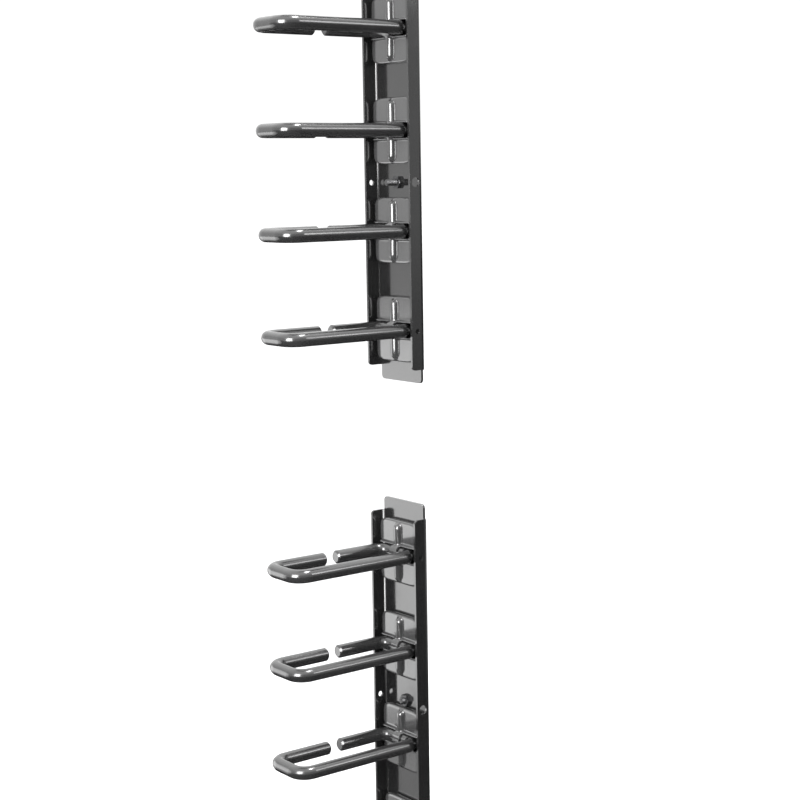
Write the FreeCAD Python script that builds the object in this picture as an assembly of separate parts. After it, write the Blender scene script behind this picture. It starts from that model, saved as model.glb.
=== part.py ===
import FreeCAD, Part
import math
import os

# Vertical cable manager, mounted on an upright flat face: two like channel sections in one line,
# each with a row of bent-rod cable rings that saddle clips hold on the web of the channel.
# Millimetres. +Z up, the channels' backs lie in the plane Y = 0, the rings reach out towards -Y.
# Origin: midway between the two studs next to the joint of the sections, on the mounting plane.

# Rows of rings and studs
RING_PITCH = 58.4
RINGS_PER_SECTION = 7
JOINT_STUD_SPAN = 316.0
LOW_STUD_RISE = 86.7
CLIPS_ABOVE_HIGH_STUD = 2

# Channel section
CHANNEL_WIDTH = 44.0
FLANGE_HEIGHT = 10.0
CHANNEL_SHEET = 1.5
CHANNEL_BEND_R = 1.2
END_TO_RING = 31.5
TONGUE_LENGTH = 8.5
TONGUE_CORNER_R = 2.5
FLANGE_CORNER_R = 2.5
NEAR_FLANGE_HOLE_D = 5.6
FAR_FLANGE_HOLE_D = 3.4
END_HOLE_D = 3.0

# Cable ring
ROD_D = 8.0
RING_LENGTH = 90.0
RING_BEND_R = 8.0
MOUTH_OFFSET = 42.5
MOUTH_WIDTH = 8.0
ROD_END_CHAMFER = 1.0

# Saddle clip
CLIP_HEIGHT = 39.0
CLIP_RISE = 4.3
CLIP_SHEET = 1.2
CLIP_CORNER_R = 5.0
CLIP_EDGE_CHAMFER = 1.2
BEAD_R = 2.9
BEAD_END_INSET = 2.0
STRAP_WIDTH = 9.0

# Fasteners
STUD_FRONT_D = 4.0
STUD_COLLAR_D = 5.3
STUD_REAR_D = 5.0
UPPER_STUD_FRONT_LENGTH = 9.2
LOWER_STUD_FRONT_LENGTH = 4.6
STUD_REAR_LENGTH = 10.0
STUD_CHAMFER = 0.5
COLLAR_SETBACK = 0.1
NUT_ACROSS_FLATS = 7.0
NUT_THICKNESS = 2.2
NUT_CHAMFER_ANGLE = 30.0

# Clearances
CLIP_SIDE_CLEARANCE = 0.6
CLIP_NUT_CLEARANCE = 0.3
RING_SIDE_INSET = 0.2
ROD_CLEARANCE = 0.15
ROD_SEAT_CLEARANCE = 0.05
WEB_HOLE_CLEARANCE = 0.1
THREAD_CLEARANCE = 0.05
OVERCUT = 1.0

# Sizes worked out from the values above
WEB_FRONT = -CHANNEL_SHEET
CHANNEL_OUTER_BEND_R = CHANNEL_BEND_R + CHANNEL_SHEET
WEB_FLAT_HALF = CHANNEL_WIDTH / 2 - CHANNEL_OUTER_BEND_R
ROD_R = ROD_D / 2
ROD_Y = WEB_FRONT - ROD_SEAT_CLEARANCE - ROD_R
CLIP_FACE = WEB_FRONT - CLIP_RISE
CLIP_HALF_WIDTH = WEB_FLAT_HALF - CLIP_SIDE_CLEARANCE
SADDLE_R = ROD_R + ROD_CLEARANCE
ARM_X = CLIP_HALF_WIDTH - RING_SIDE_INSET - ROD_R
RING_SPAN = (RINGS_PER_SECTION - 1) * RING_PITCH
SECTION_LENGTH = RING_SPAN + 2 * END_TO_RING
RING_RISES = [i * RING_PITCH for i in range(RINGS_PER_SECTION)]
HIGH_STUD_CLIP_TOP = RING_SPAN - CLIPS_ABOVE_HIGH_STUD * RING_PITCH + CLIP_HEIGHT / 2
HIGH_STUD_RISE = HIGH_STUD_CLIP_TOP + CLIP_NUT_CLEARANCE + NUT_ACROSS_FLATS / 2
STUD_RISES = [LOW_STUD_RISE, HIGH_STUD_RISE]

# Height of each section's lowest ring, and how far its studs stand out in front of the web
FIRST_RING_Z = {
    "upper": JOINT_STUD_SPAN / 2 - LOW_STUD_RISE,
    "lower": -JOINT_STUD_SPAN / 2 - HIGH_STUD_RISE,
}
STUD_FRONT_LENGTH = {"upper": UPPER_STUD_FRONT_LENGTH, "lower": LOWER_STUD_FRONT_LENGTH}

X_AXIS = FreeCAD.Vector(1, 0, 0)
Y_AXIS = FreeCAD.Vector(0, 1, 0)
Z_AXIS = FreeCAD.Vector(0, 0, 1)


def point(x, y, z):
    return FreeCAD.Vector(x, y, z)


def box(low, high):
    """Block between two opposite corners."""
    size = [b - a for a, b in zip(low, high)]
    return Part.makeBox(size[0], size[1], size[2], point(*low))


def on_plane(edge, y):
    """True when an edge lies in the plane square to Y at the given distance."""
    return max(abs(edge.BoundBox.YMin - y), abs(edge.BoundBox.YMax - y)) < 1e-3


def rounded_plate(half_width, z_low, z_high, y_front, y_back, low_r, high_r):
    """Plate square to Y, its two low corners and its two high corners rounded by their own radius."""
    corners = [
        (half_width, z_low, low_r),
        (half_width, z_high, high_r),
        (-half_width, z_high, high_r),
        (-half_width, z_low, low_r),
    ]
    plate = box((-half_width, y_front, z_low), (half_width, y_back, z_high))
    for x, z, radius in corners:
        if radius <= 0:
            continue
        edges = [
            edge
            for edge in plate.Edges
            if all(abs(v.X - x) < 1e-6 and abs(v.Z - z) < 1e-6 for v in edge.Vertexes)
        ]
        plate = plate.makeFillet(radius, edges)
    return plate


def channel_profile():
    """Cross-section of the channel in the plane Z = 0: a web and two short flanges with bent corners."""
    half = CHANNEL_WIDTH / 2
    outer = CHANNEL_OUTER_BEND_R
    inner = CHANNEL_BEND_R
    sheet = CHANNEL_SHEET
    diagonal = math.sqrt(0.5)

    def corner(side, radius, centre_x, start, end):
        middle = point(side * (centre_x + radius * diagonal), -outer + radius * diagonal, 0)
        return Part.Arc(start, middle, end).toShape()

    centre = half - outer
    tip = -FLANGE_HEIGHT
    right = [
        point(centre, 0, 0),
        point(half, -outer, 0),
        point(half, tip, 0),
        point(half - sheet, tip, 0),
        point(half - sheet, -outer, 0),
        point(centre, -sheet, 0),
    ]
    left = [point(-p.x, p.y, 0) for p in right]
    edges = [
        corner(1, outer, centre, right[0], right[1]),
        Part.makeLine(right[1], right[2]),
        Part.makeLine(right[2], right[3]),
        Part.makeLine(right[3], right[4]),
        corner(1, inner, centre, right[4], right[5]),
        Part.makeLine(right[5], left[5]),
        corner(-1, inner, centre, left[5], left[4]),
        Part.makeLine(left[4], left[3]),
        Part.makeLine(left[3], left[2]),
        Part.makeLine(left[2], left[1]),
        corner(-1, outer, centre, left[1], left[0]),
        Part.makeLine(left[0], right[0]),
    ]
    return Part.Face(Part.Wire(edges))


def round_flange_corners(channel, z_low, z_high):
    """Round the free corners at both ends of both flanges."""
    edges = []
    for edge in channel.Edges:
        at_end = any(all(abs(v.Z - z) < 1e-6 for v in edge.Vertexes) for z in (z_low, z_high))
        if at_end and on_plane(edge, -FLANGE_HEIGHT):
            edges.append(edge)
    return channel.makeFillet(FLANGE_CORNER_R, edges)


def channel_section():
    """Channel whose flanges stop short of the rounded tongues of its web; Z = 0 at the lowest ring."""
    z_low = -END_TO_RING
    z_high = z_low + SECTION_LENGTH
    flange_low = z_low + TONGUE_LENGTH
    flange_high = z_high - TONGUE_LENGTH
    channel = channel_profile().extrude(Z_AXIS * (flange_high - flange_low))
    channel.translate(Z_AXIS * flange_low)
    channel = round_flange_corners(channel, flange_low, flange_high)

    for tongue_low, tongue_high, low_r, high_r in (
        (z_low, flange_low, TONGUE_CORNER_R, 0),
        (flange_high, z_high, 0, TONGUE_CORNER_R),
    ):
        tongue = rounded_plate(WEB_FLAT_HALF, tongue_low, tongue_high, WEB_FRONT, 0, low_r, high_r)
        channel = channel.fuse(tongue)

    for z in STUD_RISES:
        channel = channel.cut(web_hole(z))
        channel = channel.cut(flange_hole(NEAR_FLANGE_HOLE_D, z, 1))
        channel = channel.cut(flange_hole(FAR_FLANGE_HOLE_D, z, -1))
    for z in (0, RING_SPAN):
        channel = channel.cut(flange_hole(END_HOLE_D, z, 1))
        channel = channel.cut(flange_hole(END_HOLE_D, z, -1))
    return channel.removeSplitter()


def web_hole(z):
    """Tool for the hole that a stud's collar sits in."""
    radius = STUD_COLLAR_D / 2 + WEB_HOLE_CLEARANCE
    return Part.makeCylinder(radius, CHANNEL_SHEET + 2 * OVERCUT, point(0, WEB_FRONT - OVERCUT, z), Y_AXIS)


def flange_hole(diameter, z, side):
    """Tool for a hole in the flange on one side, half way up the flange's inner face."""
    start = point(side * (CHANNEL_WIDTH / 2 + OVERCUT), (WEB_FRONT - FLANGE_HEIGHT) / 2, z)
    return Part.makeCylinder(diameter / 2, CHANNEL_SHEET + 2 * OVERCUT, start, X_AXIS * -side)


def ring_path():
    """Centre line of a ring from the mouth round the base bar and the tip back to the mouth."""
    bend = RING_BEND_R
    diagonal = math.sqrt(0.5)
    tip_y = -RING_LENGTH
    points = {
        "stub_end": point(-ARM_X, -MOUTH_OFFSET, 0),
        "far_root": point(-ARM_X, ROD_Y - bend, 0),
        "base_far": point(-ARM_X + bend, ROD_Y, 0),
        "base_near": point(ARM_X - bend, ROD_Y, 0),
        "near_root": point(ARM_X, ROD_Y - bend, 0),
        "near_tip": point(ARM_X, tip_y + bend, 0),
        "tip_near": point(ARM_X - bend, tip_y, 0),
        "tip_far": point(-ARM_X + bend, tip_y, 0),
        "far_tip": point(-ARM_X, tip_y + bend, 0),
        "mouth_end": point(-ARM_X, -MOUTH_OFFSET - MOUTH_WIDTH, 0),
    }

    def line(start, end):
        return Part.makeLine(points[start], points[end])

    def turn(start, end, side_x, side_y, centre_y):
        centre_x = side_x * (ARM_X - bend)
        middle = point(centre_x + side_x * bend * diagonal, centre_y + side_y * bend * diagonal, 0)
        return Part.Arc(points[start], middle, points[end]).toShape()

    edges = [
        line("stub_end", "far_root"),
        turn("far_root", "base_far", -1, 1, ROD_Y - bend),
        line("base_far", "base_near"),
        turn("base_near", "near_root", 1, 1, ROD_Y - bend),
        line("near_root", "near_tip"),
        turn("near_tip", "tip_near", 1, -1, tip_y + bend),
        line("tip_near", "tip_far"),
        turn("tip_far", "far_tip", -1, -1, tip_y + bend),
        line("far_tip", "mouth_end"),
    ]
    return Part.Wire(edges)


def cable_ring():
    """Round rod bent to a long ring that is open at the mouth half way along its far arm."""
    section = Part.Wire(Part.makeCircle(ROD_R, point(-ARM_X, -MOUTH_OFFSET, 0), Y_AXIS))
    ring = ring_path().makePipeShell([section], True, False)
    ends = []
    for edge in ring.Edges:
        faces_mouth = any(on_plane(edge, y) for y in (-MOUTH_OFFSET, -MOUTH_OFFSET - MOUTH_WIDTH))
        if edge.isClosed() and faces_mouth:
            ends.append(edge)
    return ring.makeChamfer(ROD_END_CHAMFER, ends)


def clip_pad():
    """One raised pad of a clip, above the rod: a shallow drawn tray with a half-round bead down it."""
    top = CLIP_HEIGHT / 2
    pad = rounded_plate(CLIP_HALF_WIDTH, SADDLE_R, top, CLIP_FACE, WEB_FRONT, 0, CLIP_CORNER_R)
    pad = pad.makeChamfer(CLIP_EDGE_CHAMFER, [edge for edge in pad.Edges if on_plane(edge, CLIP_FACE)])

    bead_end = top - BEAD_END_INSET - BEAD_R
    bead = Part.makeCylinder(BEAD_R, bead_end - SADDLE_R, point(0, CLIP_FACE, SADDLE_R), Z_AXIS)
    bead = bead.fuse(Part.makeSphere(BEAD_R, point(0, CLIP_FACE, bead_end)))

    hollow_low = SADDLE_R + CLIP_SHEET
    hollow = rounded_plate(
        CLIP_HALF_WIDTH - CLIP_SHEET,
        hollow_low,
        top - CLIP_SHEET,
        CLIP_FACE + CLIP_SHEET,
        WEB_FRONT + OVERCUT,
        0,
        CLIP_CORNER_R - CLIP_SHEET,
    )
    groove_start = point(0, CLIP_FACE, hollow_low)
    groove = Part.makeCylinder(BEAD_R - CLIP_SHEET, bead_end - hollow_low, groove_start, Z_AXIS)
    return pad.fuse(bead).cut(hollow.fuse(groove))


def saddle_strap():
    """Arched strap that crosses over the base bar and joins the rims of the two pads of a clip."""
    left = -STRAP_WIDTH / 2
    foot_y = CLIP_FACE + CLIP_EDGE_CHAMFER + CLIP_SHEET
    outer_r = SADDLE_R + CLIP_SHEET
    outer_feet = [point(left, foot_y, -outer_r), point(left, foot_y, outer_r)]
    outer_springs = [point(left, ROD_Y, -outer_r), point(left, ROD_Y, outer_r)]
    inner_feet = [point(left, foot_y, -SADDLE_R), point(left, foot_y, SADDLE_R)]
    inner_springs = [point(left, ROD_Y, -SADDLE_R), point(left, ROD_Y, SADDLE_R)]
    edges = [
        Part.makeLine(outer_feet[0], outer_springs[0]),
        Part.Arc(outer_springs[0], point(left, ROD_Y - outer_r, 0), outer_springs[1]).toShape(),
        Part.makeLine(outer_springs[1], outer_feet[1]),
        Part.makeLine(outer_feet[1], inner_feet[1]),
        Part.makeLine(inner_feet[1], inner_springs[1]),
        Part.Arc(inner_springs[1], point(left, ROD_Y - SADDLE_R, 0), inner_springs[0]).toShape(),
        Part.makeLine(inner_springs[0], inner_feet[0]),
        Part.makeLine(inner_feet[0], outer_feet[0]),
    ]
    return Part.Face(Part.Wire(edges)).extrude(X_AXIS * STRAP_WIDTH)


def saddle_clip():
    """Pressed clip: a pad above the rod, its mirror image below, and the strap between them."""
    pad = clip_pad()
    mirrored = pad.mirror(point(0, 0, 0), Z_AXIS)
    return pad.fuse(mirrored).fuse(saddle_strap()).removeSplitter()


def mounting_stud(front_length):
    """Stepped stud: a rear end that screws in behind the web, a collar in the web's hole, a front end."""
    rear = Part.makeCylinder(STUD_REAR_D / 2, STUD_REAR_LENGTH, point(0, 0, 0), Y_AXIS)
    rear = rear.makeChamfer(STUD_CHAMFER, [edge for edge in rear.Edges if on_plane(edge, STUD_REAR_LENGTH)])
    collar_length = CHANNEL_SHEET - COLLAR_SETBACK
    collar = Part.makeCylinder(STUD_COLLAR_D / 2, collar_length, point(0, -collar_length, 0), Y_AXIS)
    tip = WEB_FRONT - front_length
    front = Part.makeCylinder(STUD_FRONT_D / 2, -tip, point(0, 0, 0), Y_AXIS * -1)
    front = front.makeChamfer(STUD_CHAMFER, [edge for edge in front.Edges if on_plane(edge, tip)])
    return rear.fuse(collar).fuse(front)


def hex_nut():
    """Thin hexagon nut on the front of the web, flats up and down, corners chamfered at both faces."""
    face = WEB_FRONT - NUT_THICKNESS
    corner_r = NUT_ACROSS_FLATS / math.sqrt(3)
    corners = []
    for i in range(7):
        angle = i * math.pi / 3
        corners.append(point(corner_r * math.cos(angle), WEB_FRONT, corner_r * math.sin(angle)))
    nut = Part.Face(Part.makePolygon(corners)).extrude(Y_AXIS * -NUT_THICKNESS)

    flat_r = NUT_ACROSS_FLATS / 2
    cone_height = NUT_THICKNESS / 2
    wide_r = flat_r + cone_height / math.tan(math.radians(NUT_CHAMFER_ANGLE))
    front_cone = Part.makeCone(flat_r, wide_r, cone_height, point(0, face, 0), Y_AXIS)
    rear_cone = Part.makeCone(flat_r, wide_r, cone_height, point(0, WEB_FRONT, 0), Y_AXIS * -1)
    nut = nut.common(front_cone.fuse(rear_cone))

    bore_start = point(0, WEB_FRONT + OVERCUT, 0)
    bore_r = STUD_FRONT_D / 2 + THREAD_CLEARANCE
    return nut.cut(Part.makeCylinder(bore_r, NUT_THICKNESS + 2 * OVERCUT, bore_start, Y_AXIS * -1))


def write(name, shape):
    shape.exportStep(os.path.join("parts", name + ".step"))


def raised(shape, z):
    """A copy of a shape, moved up."""
    copy = shape.copy()
    copy.translate(Z_AXIS * z)
    return copy


def main():
    os.makedirs("parts", exist_ok=True)
    channel = channel_section()
    ring = cable_ring()
    clip = saddle_clip()
    nut = hex_nut()
    for place, base in FIRST_RING_Z.items():
        write(place + "_channel", raised(channel, base))
        for number, rise in enumerate(RING_RISES, start=1):
            write("%s_cable_ring_%d" % (place, number), raised(ring, base + rise))
            write("%s_saddle_clip_%d" % (place, number), raised(clip, base + rise))
        stud = mounting_stud(STUD_FRONT_LENGTH[place])
        studs = [raised(stud, base + rise) for rise in STUD_RISES]
        nuts = [raised(nut, base + rise) for rise in STUD_RISES]
        write(place + "_mounting_studs", Part.makeCompound(studs))
        write(place + "_stud_nuts", Part.makeCompound(nuts))


main()
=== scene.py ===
import math

import bmesh
import bpy
from mathutils import Matrix, Vector

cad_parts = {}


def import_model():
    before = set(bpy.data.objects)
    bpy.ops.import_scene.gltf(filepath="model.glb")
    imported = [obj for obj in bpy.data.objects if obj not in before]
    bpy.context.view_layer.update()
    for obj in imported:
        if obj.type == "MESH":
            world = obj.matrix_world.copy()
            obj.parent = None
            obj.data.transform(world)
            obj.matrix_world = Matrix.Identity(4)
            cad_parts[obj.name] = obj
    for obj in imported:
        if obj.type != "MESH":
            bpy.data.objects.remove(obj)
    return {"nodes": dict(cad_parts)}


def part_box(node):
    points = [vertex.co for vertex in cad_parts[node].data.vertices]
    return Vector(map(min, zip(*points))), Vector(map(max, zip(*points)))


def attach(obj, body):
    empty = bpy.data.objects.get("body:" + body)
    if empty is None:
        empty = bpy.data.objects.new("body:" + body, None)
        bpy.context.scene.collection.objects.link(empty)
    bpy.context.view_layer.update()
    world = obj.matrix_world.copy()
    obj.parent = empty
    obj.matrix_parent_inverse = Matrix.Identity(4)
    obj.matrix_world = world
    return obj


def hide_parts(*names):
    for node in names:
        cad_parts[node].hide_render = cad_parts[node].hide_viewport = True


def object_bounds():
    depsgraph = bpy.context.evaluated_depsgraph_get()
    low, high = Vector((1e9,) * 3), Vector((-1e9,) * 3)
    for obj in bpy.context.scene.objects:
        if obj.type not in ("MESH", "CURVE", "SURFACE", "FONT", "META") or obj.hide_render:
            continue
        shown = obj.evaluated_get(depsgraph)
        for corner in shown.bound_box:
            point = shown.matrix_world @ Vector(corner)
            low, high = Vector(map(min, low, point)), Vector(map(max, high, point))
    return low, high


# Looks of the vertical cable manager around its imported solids, in metres.

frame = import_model()
CAD_LOW, CAD_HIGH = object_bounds()
NODES = frame["nodes"]
SIDES = ("upper", "lower")
MM = 0.001

# Camera, as found from the edges in the photo
IMAGE_SIZE = 800.0
FOCAL_PIXELS = 1707.7
SENSOR_WIDTH = 36.0
CAMERA_AZIMUTH = math.radians(52.584)
CAMERA_PITCH = math.radians(7.586)
CAMERA_ROLL = math.radians(-0.909)
CAMERA_PLACE = Vector((0.8072, -0.6203, 0.1637))
CAMERA_NEAR = 0.01

# Pressed sheet of the clips: insets run inwards from the outline, depths forwards from the web
WEB_FRONT = -1.5 * MM
CLIP_DEPTH = 4.3 * MM
CLIP_FOOT = 0.03 * MM
CLIP_SHEET = 1.2 * MM
CLIP_CORNER_R = 5.0 * MM
CLIP_ROLL_R = 1.3 * MM
BEAD_R = 2.9 * MM
BEAD_END_INSET = 1.5 * MM
STRAP_HALF_WIDTH = 3.1 * MM
ROD_DEPTH = 4.05 * MM
SADDLE_R = 5.35 * MM
LIP_REACH = 2.0 * MM
LIP_FILLET = 0.55 * MM
SEAM_WELD = 0.001 * MM
CLIP_SUBDIVISIONS = 1

# Rows and columns of points on a quarter of a clip, as distances from its middle
PAD_COLUMN = 8.0 * MM
PAD_ROWS = (11.0 * MM, 8.0 * MM, 6.6 * MM, 5.9 * MM)

# Gaps from the strap out to the next column, and from the corner's centre in to the next row
STRAP_COLUMN_GAP = 1.0 * MM
CORNER_ROW_GAP = 0.4 * MM

# Rows and columns that are shares of a radius: across the bead, past its end, and down the strap
BEAD_SHARES = (0.0, 0.5, 0.85, 0.97, 1.01)
DOME_SHARES = (1.07, 0.85, 0.55, 0.25)
STRAP_SHARES = (0.7, 0.36, 0.0)

# How far the strap's first two rows of points lie inside the saddle's edge
STRAP_FIRST_DROP = 0.05 * MM
STRAP_SECOND_DROP = 0.6 * MM

# Middle of a rolled rim, as shares of its radius: inwards from the outline, and back from the pad's front
ROLL_MIDDLE_INSET = 0.2
ROLL_MIDDLE_DROP = 0.3

# Thread of the mounting studs
THREAD_PITCH = 0.7 * MM
THREAD_DEPTH = 0.38 * MM
THREAD_STEPS = 8
THREAD_SEGMENTS = 24
THREAD_END_TAPER = 0.6 * MM
THREAD_END_CUT = 0.5 * MM

# Plain collar of the studs
COLLAR_LEAST_R = 2.6 * MM
COLLAR_SINK = 0.3 * MM
COLLAR_BREAK = 0.1 * MM
COLLAR_SEGMENTS = 48

# Where a packed stud's front end and rear end are measured, and how its points are told apart
STUD_FRONT_CLEARANCE = 1.0 * MM
STUD_REAR_FROM = 5.0 * MM
POINT_WELD = 0.001 * MM
PLACE_DIGITS = 5

# Noise: features per metre, and the range of the noise that a look is spread over
CLOUD_SCALE = 18.0
CLOUD_RANGE = (0.35, 0.65)
SPECK_SCALE = 900.0
SPECK_RANGE = (0.66, 0.74)
HAZE_SCALE = 45.0
ZINC_CLOUD_SCALE = 400.0
ZINC_PATCH_SCALE = 900.0
ZINC_GRAIN_SCALE = 1500.0
FLOOR_CLOUD_SCALE = 3.0
WIDE_RANGE = (0.3, 0.7)

# Paint
SPECK_STRENGTH = 0.35
SPECK_LIGHTENING = 2.5
HAZE_SMOOTHER = 0.03
HAZE_ROUGHER = 0.07
PEEL_STRENGTH = 0.12
PEEL_DEPTH = 0.05 * MM
PAINT_IOR = 1.6
COAT_WEIGHT = 0.6

# Zinc plating
ZINC_DARK = (0.075, 0.075, 0.08, 1.0)
ZINC_LIGHT = (0.13, 0.13, 0.13, 1.0)
ZINC_SMOOTHEST = 0.38
ZINC_ROUGHEST = 0.56
ZINC_GRAIN_STRENGTH = 0.25
ZINC_GRAIN_DEPTH = 0.03 * MM

# Rounding of the channels' sheet edges
EDGE_WELD = 0.002 * MM
EDGE_ROUND = 0.25 * MM
EDGE_SEGMENTS = 2
EDGE_ANGLE = math.radians(35.0)

# Floor
FLOOR_GAP = 0.002
FLOOR_SIZE = 60.0
FLOOR_DARK = 0.74
FLOOR_LIGHT = 0.78
FLOOR_ROUGHNESS = 0.85

# World: its tones, and the ranges of the direction along an axis over which they change
TONE_LEFT = 1.1
TONE_RIGHT = 0.6
TONE_OVERHEAD = 2.0
TONE_BELOW = 0.012
TONE_GLOW = 1.0
SIDE_RANGE = (-0.35, 0.25)
OVERHEAD_RANGE = (0.35, 0.75)
HORIZON_RANGE = (-0.14, -0.03)
GLOW_SIDE_RANGE = (-0.74, -0.68)
GLOW_FRONT_RANGE = (0.1, 0.3)
GLOW_HEIGHT_RANGE = (-0.55, -0.45)

# Colour sockets of a mix node, which has sockets of the same names for numbers and vectors too
MIX_FIRST = 6
MIX_SECOND = 7
MIX_RESULT = 2


def new_material(name):
    """A node material with only its output and its main shader; returns it, its tree and the shader."""
    material = bpy.data.materials.new(name)
    material.use_nodes = True
    tree = material.node_tree
    tree.nodes.clear()
    output = tree.nodes.new("ShaderNodeOutputMaterial")
    shader = tree.nodes.new("ShaderNodeBsdfPrincipled")
    tree.links.new(shader.outputs["BSDF"], output.inputs["Surface"])
    return material, tree, shader


def noise(tree, scale, detail):
    """Noise in the object's own coordinates, in features per metre."""
    coordinates = tree.nodes.new("ShaderNodeTexCoord")
    texture = tree.nodes.new("ShaderNodeTexNoise")
    texture.inputs["Scale"].default_value = scale
    texture.inputs["Detail"].default_value = detail
    tree.links.new(coordinates.outputs["Object"], texture.inputs["Vector"])
    return texture.outputs["Fac"]


def ramp(tree, value, value_range, first=0.0, last=1.0):
    """Maps a value's range to the range from first to last, held inside it."""
    node = tree.nodes.new("ShaderNodeMapRange")
    node.inputs["From Min"].default_value = value_range[0]
    node.inputs["From Max"].default_value = value_range[1]
    node.inputs["To Min"].default_value = first
    node.inputs["To Max"].default_value = last
    tree.links.new(value, node.inputs["Value"])
    return node.outputs["Result"]


def product(tree, first, second):
    """Two values multiplied."""
    node = tree.nodes.new("ShaderNodeMath")
    node.operation = "MULTIPLY"
    tree.links.new(first, node.inputs[0])
    tree.links.new(second, node.inputs[1])
    return node.outputs["Value"]


def mix_colour(tree, factor, first, second):
    """A colour between two, by a factor; each colour is a value or another node's output."""
    node = tree.nodes.new("ShaderNodeMix")
    node.data_type = "RGBA"
    tree.links.new(factor, node.inputs["Factor"])
    for socket, colour in ((node.inputs[MIX_FIRST], first), (node.inputs[MIX_SECOND], second)):
        if isinstance(colour, tuple):
            socket.default_value = colour
        else:
            tree.links.new(colour, socket)
    return node.outputs[MIX_RESULT]


def bump(tree, height, strength, distance, shader):
    """Lets a height show in the shader's light, without changing the shape."""
    node = tree.nodes.new("ShaderNodeBump")
    node.inputs["Strength"].default_value = strength
    node.inputs["Distance"].default_value = distance
    tree.links.new(height, node.inputs["Height"])
    tree.links.new(node.outputs["Normal"], shader.inputs["Normal"])


def neutral(value):
    """A grey with no tint."""
    return (value, value, value, 1.0)


def grey(value):
    """A grey with a trace of blue."""
    return (value, value, value * 1.01, 1.0)


def gloss_paint(name, dark, light, roughness, coat_roughness, peel_scale):
    """Glossy dark paint: slight clouding, orange peel, faint haze and small lighter specks."""
    material, tree, shader = new_material(name)
    clouds = ramp(tree, noise(tree, CLOUD_SCALE, detail=3.0), CLOUD_RANGE)
    colour = mix_colour(tree, clouds, grey(dark), grey(light))
    specks = ramp(tree, noise(tree, SPECK_SCALE, detail=3.0), SPECK_RANGE, 0.0, SPECK_STRENGTH)
    dusty = mix_colour(tree, specks, colour, grey(light * SPECK_LIGHTENING))
    tree.links.new(dusty, shader.inputs["Base Color"])
    smoothest = roughness - HAZE_SMOOTHER
    roughest = roughness + HAZE_ROUGHER
    haze = ramp(tree, noise(tree, HAZE_SCALE, detail=4.0), WIDE_RANGE, smoothest, roughest)
    tree.links.new(haze, shader.inputs["Roughness"])
    bump(tree, noise(tree, peel_scale, detail=2.0), PEEL_STRENGTH, PEEL_DEPTH, shader)
    shader.inputs["IOR"].default_value = PAINT_IOR
    shader.inputs["Coat Weight"].default_value = COAT_WEIGHT
    shader.inputs["Coat Roughness"].default_value = coat_roughness
    return material


def zinc(name):
    """Dull dark zinc-plated steel of the small fasteners."""
    material, tree, shader = new_material(name)
    clouds = ramp(tree, noise(tree, ZINC_CLOUD_SCALE, detail=3.0), WIDE_RANGE)
    colour = mix_colour(tree, clouds, ZINC_DARK, ZINC_LIGHT)
    tree.links.new(colour, shader.inputs["Base Color"])
    shader.inputs["Metallic"].default_value = 1.0
    patch_noise = noise(tree, ZINC_PATCH_SCALE, detail=3.0)
    patches = ramp(tree, patch_noise, WIDE_RANGE, ZINC_SMOOTHEST, ZINC_ROUGHEST)
    tree.links.new(patches, shader.inputs["Roughness"])
    grain = noise(tree, ZINC_GRAIN_SCALE, detail=2.0)
    bump(tree, grain, ZINC_GRAIN_STRENGTH, ZINC_GRAIN_DEPTH, shader)
    return material


def paint(obj, material):
    """Gives an object this material alone."""
    obj.data.materials.clear()
    obj.data.materials.append(material)


def link(name, data):
    """A new object in the scene that shows this data."""
    obj = bpy.data.objects.new(name, data)
    bpy.context.scene.collection.objects.link(obj)
    return obj


def link_mesh(name, mesh, smooth):
    """A new object in the scene made from a finished edit mesh, with smooth or flat faces."""
    data = bpy.data.meshes.new(name)
    mesh.to_mesh(data)
    mesh.free()
    data.polygons.foreach_set("use_smooth", [smooth] * len(data.polygons))
    return link(name, data)


def ring_of_points(mesh, centre, y, radii):
    """A ring of points around a line along Y, each at its own radius."""
    ring = []
    for j, radius in enumerate(radii):
        angle = 2.0 * math.pi * j / len(radii)
        place = (centre.x + radius * math.cos(angle), y, centre.z + radius * math.sin(angle))
        ring.append(mesh.verts.new(place))
    return ring


def skin(mesh, rings):
    """Faces from each ring of points to the next one, and over both ends."""
    for front, back in zip(rings, rings[1:]):
        for j in range(len(front)):
            k = (j + 1) % len(front)
            mesh.faces.new((front[j], back[j], back[k], front[k]))
    mesh.faces.new(rings[0])
    mesh.faces.new(list(reversed(rings[-1])))


def threaded_rod(mesh, centre, low_y, high_y, radius):
    """Adds a rod along Y with a V thread and tapered ends: each ring of points follows the helix."""
    step = THREAD_PITCH / THREAD_STEPS
    count = int((high_y - low_y) / step)
    rings = []
    for i in range(count + 1):
        y = low_y + (high_y - low_y) * i / count
        from_end = min(y - low_y, high_y - y)
        end_cut = (1.0 - min(1.0, from_end / THREAD_END_TAPER)) * THREAD_END_CUT
        radii = []
        for j in range(THREAD_SEGMENTS):
            phase = (y / THREAD_PITCH + j / THREAD_SEGMENTS) % 1.0
            crest = 1.0 - abs(2.0 * phase - 1.0)
            radii.append(radius - THREAD_DEPTH * (1.0 - crest) - end_cut)
        rings.append(ring_of_points(mesh, centre, y, radii))
    skin(mesh, rings)


def plain_collar(mesh, centre, front_y, back_y, radius):
    """Adds a plain collar along Y with its front edge broken."""
    profile = ((front_y, radius - COLLAR_BREAK), (front_y + COLLAR_BREAK, radius), (back_y, radius))
    skin(mesh, [ring_of_points(mesh, centre, y, [r] * COLLAR_SEGMENTS) for y, r in profile])


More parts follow.
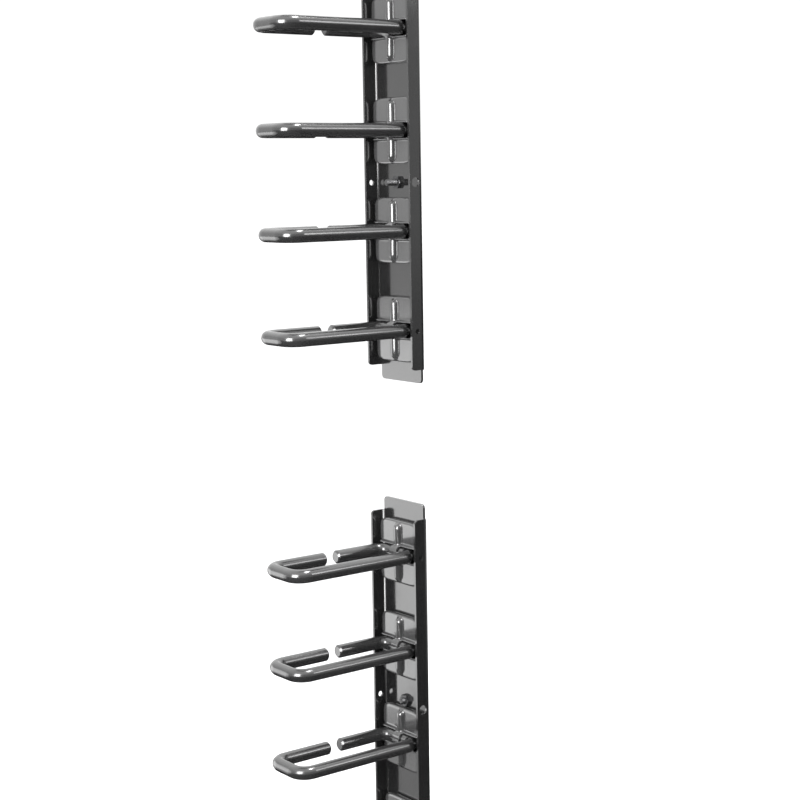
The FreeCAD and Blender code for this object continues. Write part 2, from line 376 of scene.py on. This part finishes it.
def radii_along(node):
    """The separate solids of a CAD node: each its centre and its radius at each Y it has points at."""
    mesh = bmesh.new()
    mesh.from_mesh(NODES[node].data)
    bmesh.ops.remove_doubles(mesh, verts=mesh.verts, dist=POINT_WELD)
    left = set(mesh.verts)
    solids = []
    while left:
        stack = [left.pop()]
        members = []
        while stack:
            vertex = stack.pop()
            members.append(vertex.co.copy())
            for edge in vertex.link_edges:
                other = edge.other_vert(vertex)
                if other in left:
                    left.remove(other)
                    stack.append(other)
        low = Vector([min(p[i] for p in members) for i in range(3)])
        high = Vector([max(p[i] for p in members) for i in range(3)])
        centre = (low + high) / 2
        radii = {}
        for p in members:
            radius = math.hypot(p.x - centre.x, p.z - centre.z)
            y = round(p.y, PLACE_DIGITS)
            radii[y] = max(radii.get(y, 0.0), radius)
        solids.append((centre, radii))
    mesh.free()
    return sorted(solids, key=lambda solid: solid[0].z)


def threaded_studs(side, material):
    """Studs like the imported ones, with a thread on the front end and on the rear end."""
    node = side + "_mounting_studs"
    mesh = bmesh.new()
    for centre, radii in radii_along(node):
        low_y = min(radii)
        high_y = max(radii)
        collar_front = min(y for y in radii if radii[y] > COLLAR_LEAST_R)
        collar_r = max(radii.values())
        front_r = max(radii[y] for y in radii if y < collar_front - STUD_FRONT_CLEARANCE)
        rear_r = max(radii[y] for y in radii if y > STUD_REAR_FROM)
        threaded_rod(mesh, centre, low_y, collar_front + COLLAR_SINK, front_r)
        plain_collar(mesh, centre, collar_front, 0.0, collar_r)
        threaded_rod(mesh, centre, -COLLAR_SINK, high_y, rear_r)
    studs = link_mesh(side + "_threaded_studs", mesh, smooth=False)
    paint(studs, material)
    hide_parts(node)
    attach(studs, "root")


def clip_depth(x, z, bead_end):
    """How far a clip's front lies before the web: the flat pad with its round-ended bead."""
    past_end = max(0.0, z - bead_end)
    return CLIP_DEPTH + math.sqrt(max(0.0, BEAD_R ** 2 - x ** 2 - past_end ** 2))


def strap_depth(z):
    """How far the outside of a strap lies before the web, where it arches over the rod."""
    return ROD_DEPTH + math.sqrt(max(0.0, SADDLE_R ** 2 - z ** 2))


def pushed(value, centre, inset):
    """Moves a coordinate of the pad's flat out to a loop at the given inset from the outline."""
    if value <= centre:
        return value
    return centre + (value - centre) * (CLIP_CORNER_R - inset) / (CLIP_CORNER_R - CLIP_ROLL_R)


def rounded(x, z, centre_x, centre_z):
    """Bends the square corner of a pad to a round one."""
    past_x = x - centre_x
    past_z = z - centre_z
    if past_x <= 0.0 or past_z <= 0.0:
        return x, z
    reach = max(past_x, past_z)
    angle = math.pi / 4 * min(past_x, past_z) / reach
    if past_z > past_x:
        angle = math.pi / 2 - angle
    return centre_x + reach * math.cos(angle), centre_z + reach * math.sin(angle)


def clip_quarter(mesh, half_width, half_height, side_x, side_z):
    """A quarter of a clip's front, on the given sides: pad, half a bead, lip and a quarter of the strap."""
    centre_x = half_width - CLIP_CORNER_R
    centre_z = half_height - CLIP_CORNER_R
    bead_end = half_height - BEAD_END_INSET - BEAD_R
    strap_columns = [share * BEAD_R for share in BEAD_SHARES] + [STRAP_HALF_WIDTH]
    pad_columns = [STRAP_HALF_WIDTH + STRAP_COLUMN_GAP, PAD_COLUMN, centre_x, half_width - CLIP_ROLL_R]
    columns = strap_columns + pad_columns
    dome_rows = [bead_end + share * BEAD_R for share in DOME_SHARES]
    pad_rows = dome_rows + [centre_z - CORNER_ROW_GAP] + list(PAD_ROWS)

    def add(x, z, depth):
        """A point on the given sides."""
        return mesh.verts.new((side_x * x, WEB_FRONT - depth, side_z * z))

    def face(*corners):
        """A face that looks outwards: a mirrored quarter takes its corners the other way round."""
        mesh.faces.new(corners if side_x * side_z > 0 else corners[::-1])

    grid = []
    for z in pad_rows:
        row = []
        for x in columns:
            place_x, place_z = rounded(x, z, centre_x, centre_z)
            row.append(add(place_x, place_z, clip_depth(x, z, bead_end)))
        grid.append(row)
    for reach, drop in ((LIP_FILLET, STRAP_FIRST_DROP), (LIP_REACH, STRAP_SECOND_DROP)):
        row = []
        for x in columns:
            on_strap = x <= STRAP_HALF_WIDTH
            z = SADDLE_R - drop if on_strap else SADDLE_R
            depth = max(clip_depth(x, z, bead_end), strap_depth(z)) if on_strap else CLIP_DEPTH + reach
            row.append(add(x, z, depth))
        grid.append(row)
    for share in STRAP_SHARES:
        z = share * SADDLE_R
        grid.append([add(x, z, strap_depth(z)) for x in strap_columns])
    for upper, lower in zip(grid, grid[1:]):
        for i in range(min(len(upper), len(lower)) - 1):
            face(upper[i], lower[i], lower[i + 1], upper[i + 1])

    border = [(x, pad_rows[0]) for x in columns] + [(columns[-1], z) for z in pad_rows[1:]]
    inner = grid[0] + [row[-1] for row in grid[1:len(pad_rows)]]
    rim_loops = (
        (ROLL_MIDDLE_INSET * CLIP_ROLL_R, CLIP_DEPTH - ROLL_MIDDLE_DROP * CLIP_ROLL_R),
        (0.0, CLIP_DEPTH - CLIP_ROLL_R),
        (0.0, CLIP_FOOT),
    )
    for inset, depth in rim_loops:
        outer = []
        for x, z in border:
            wide_x = pushed(x, centre_x, inset)
            wide_z = pushed(z, centre_z, inset)
            outer.append(add(*rounded(wide_x, wide_z, centre_x, centre_z), depth))
        for k in range(len(border) - 1):
            face(outer[k], inner[k], inner[k + 1], outer[k + 1])
        inner = outer


def pressed_clip(node, material):
    """A clip as pressed from sheet: rolled rims, a bead, a lip over the rod, and a strap across it."""
    low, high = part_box(node)
    mesh = bmesh.new()
    for side_x in (1, -1):
        for side_z in (1, -1):
            clip_quarter(mesh, (high.x - low.x) / 2, (high.z - low.z) / 2, side_x, side_z)
    bmesh.ops.remove_doubles(mesh, verts=mesh.verts[:], dist=SEAM_WELD)
    bmesh.ops.translate(mesh, verts=mesh.verts[:], vec=(0.0, 0.0, (low.z + high.z) / 2))
    clip = link_mesh(node.replace("saddle", "pressed"), mesh, smooth=True)
    sheet = clip.modifiers.new("sheet", "SOLIDIFY")
    sheet.thickness = CLIP_SHEET
    sheet.offset = -1.0
    sheet.use_even_offset = True
    subdivision = clip.modifiers.new("smooth", "SUBSURF")
    subdivision.levels = CLIP_SUBDIVISIONS
    subdivision.render_levels = CLIP_SUBDIVISIONS
    paint(clip, material)
    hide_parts(node)
    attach(clip, "root")


def soften(node):
    """Rounds the sharp edges of a sheet piece a little, so that they catch the light."""
    weld = node.modifiers.new("weld", "WELD")
    weld.merge_threshold = EDGE_WELD
    bevel = node.modifiers.new("edge_round", "BEVEL")
    bevel.width = EDGE_ROUND
    bevel.segments = EDGE_SEGMENTS
    bevel.limit_method = "ANGLE"
    bevel.angle_limit = EDGE_ANGLE
    bevel.harden_normals = True


def dress():
    """Paints every node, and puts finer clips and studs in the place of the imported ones."""
    # Painted shade: the channel has the same black paint as the clips and rods, given a much darker tone
    # that stands in for shade.
    channel_paint_shaded_tone = gloss_paint(
        "channel_gloss_paint_painted_shade", dark=0.008, light=0.011, roughness=0.13, coat_roughness=0.06, peel_scale=500.0
    )
    # Painted light: the clips have that same black paint, given a tone several times lighter than the
    # channel's.
    clip_paint_lit_tone = gloss_paint(
        "clip_gloss_paint_painted_light", dark=0.030, light=0.038, roughness=0.14, coat_roughness=0.06, peel_scale=600.0
    )
    rod_paint = gloss_paint(
        "rod_gloss_paint", dark=0.013, light=0.018, roughness=0.20, coat_roughness=0.11, peel_scale=600.0
    )
    fastener_zinc = zinc("zinc_plated")
    for name, node in NODES.items():
        if "ring" in name:
            paint(node, rod_paint)
        elif "clip" in name:
            paint(node, clip_paint_lit_tone)
            pressed_clip(name, clip_paint_lit_tone)
        elif "channel" in name:
            paint(node, channel_paint_shaded_tone)
            soften(node)
        else:
            paint(node, fastener_zinc)
    for side in SIDES:
        threaded_studs(side, fastener_zinc)


def floor():
    """Plain pale floor under the whole part, left out of reflections."""
    material, tree, shader = new_material("floor_pale")
    tone = ramp(tree, noise(tree, FLOOR_CLOUD_SCALE, detail=2.0), WIDE_RANGE)
    tree.links.new(mix_colour(tree, tone, grey(FLOOR_DARK), grey(FLOOR_LIGHT)), shader.inputs["Base Color"])
    shader.inputs["Roughness"].default_value = FLOOR_ROUGHNESS
    mesh = bmesh.new()
    bmesh.ops.create_grid(mesh, x_segments=1, y_segments=1, size=FLOOR_SIZE / 2)
    obj = link_mesh("floor", mesh, smooth=False)
    obj.location = (0.0, 0.0, CAD_LOW.z - FLOOR_GAP)
    obj.visible_glossy = False
    paint(obj, material)


def world():
    """White at the left and overhead, grey at the right, dark below but for a glow at the front left."""
    scene_world = bpy.data.worlds.new("studio")
    bpy.context.scene.world = scene_world
    scene_world.use_nodes = True
    tree = scene_world.node_tree
    background = tree.nodes["Background"]
    coordinates = tree.nodes.new("ShaderNodeTexCoord")
    axes = tree.nodes.new("ShaderNodeSeparateXYZ")
    tree.links.new(coordinates.outputs["Generated"], axes.inputs["Vector"])
    x, y, z = (axes.outputs[axis] for axis in "XYZ")
    around = mix_colour(tree, ramp(tree, x, SIDE_RANGE), neutral(TONE_LEFT), neutral(TONE_RIGHT))
    above = mix_colour(tree, ramp(tree, z, OVERHEAD_RANGE), around, neutral(TONE_OVERHEAD))
    left = ramp(tree, x, GLOW_SIDE_RANGE, 1.0, 0.0)
    front = ramp(tree, y, GLOW_FRONT_RANGE, 1.0, 0.0)
    lit = ramp(tree, z, GLOW_HEIGHT_RANGE)
    glow = product(tree, product(tree, left, front), lit)
    below = mix_colour(tree, glow, neutral(TONE_BELOW), neutral(TONE_GLOW))
    colour = mix_colour(tree, ramp(tree, z, HORIZON_RANGE), below, above)
    tree.links.new(colour, background.inputs["Color"])
    background.inputs["Strength"].default_value = 1.0


def area_light(name, place, target, size, power, spread):
    """A rectangular softbox that faces its target and doesn't show in the camera."""
    data = bpy.data.lights.new(name, "AREA")
    data.shape = "RECTANGLE"
    data.size = size[0]
    data.size_y = size[1]
    data.energy = power
    data.spread = math.radians(spread)
    obj = link(name, data)
    place = Vector(place)
    obj.location = place
    obj.rotation_euler = (Vector(target) - place).to_track_quat("-Z", "Y").to_euler()
    obj.visible_camera = False


def lights():
    """Softboxes: low left for the webs to mirror, front, overhead, and behind at the right for the rods."""
    area_light("left_low_softbox", place=(-0.52, -0.40, -0.175), target=(0.0, 0.0, -0.175),
               size=(0.62, 0.39), power=0.75, spread=120.0)
    area_light("front_softbox", place=(0.42, -1.0, 0.34), target=(0.0, 0.0, 0.2),
               size=(0.60, 0.85), power=10.0, spread=100.0)
    area_light("overhead_softbox", place=(0.3, 0.5, 1.7), target=(0.0, 0.0, 0.0),
               size=(0.9, 0.35), power=9.0, spread=90.0)
    area_light("right_back_softbox", place=(1.286, 0.89, 0.70), target=(0.0, 0.0, 0.2),
               size=(0.22, 0.5), power=1.1, spread=120.0)


def camera():
    """Camera at the photo's place, looking the photo's way."""
    forward = Vector((
        -math.sin(CAMERA_AZIMUTH) * math.cos(CAMERA_PITCH),
        math.cos(CAMERA_AZIMUTH) * math.cos(CAMERA_PITCH),
        -math.sin(CAMERA_PITCH),
    ))
    right = Vector((math.cos(CAMERA_AZIMUTH), math.sin(CAMERA_AZIMUTH), 0.0))
    up = right.cross(forward)
    rolled_right = math.cos(CAMERA_ROLL) * right + math.sin(CAMERA_ROLL) * up
    rolled_up = -math.sin(CAMERA_ROLL) * right + math.cos(CAMERA_ROLL) * up
    data = bpy.data.cameras.new("camera")
    data.sensor_width = SENSOR_WIDTH
    data.lens = FOCAL_PIXELS * SENSOR_WIDTH / IMAGE_SIZE
    data.clip_start = CAMERA_NEAR
    obj = link("camera", data)
    axes = Matrix((rolled_right, rolled_up, -forward)).transposed().to_4x4()
    obj.matrix_world = Matrix.Translation(CAMERA_PLACE) @ axes
    bpy.context.scene.camera = obj


bpy.context.scene.view_settings.view_transform = "Standard"
dress()
floor()
world()
lights()
camera()
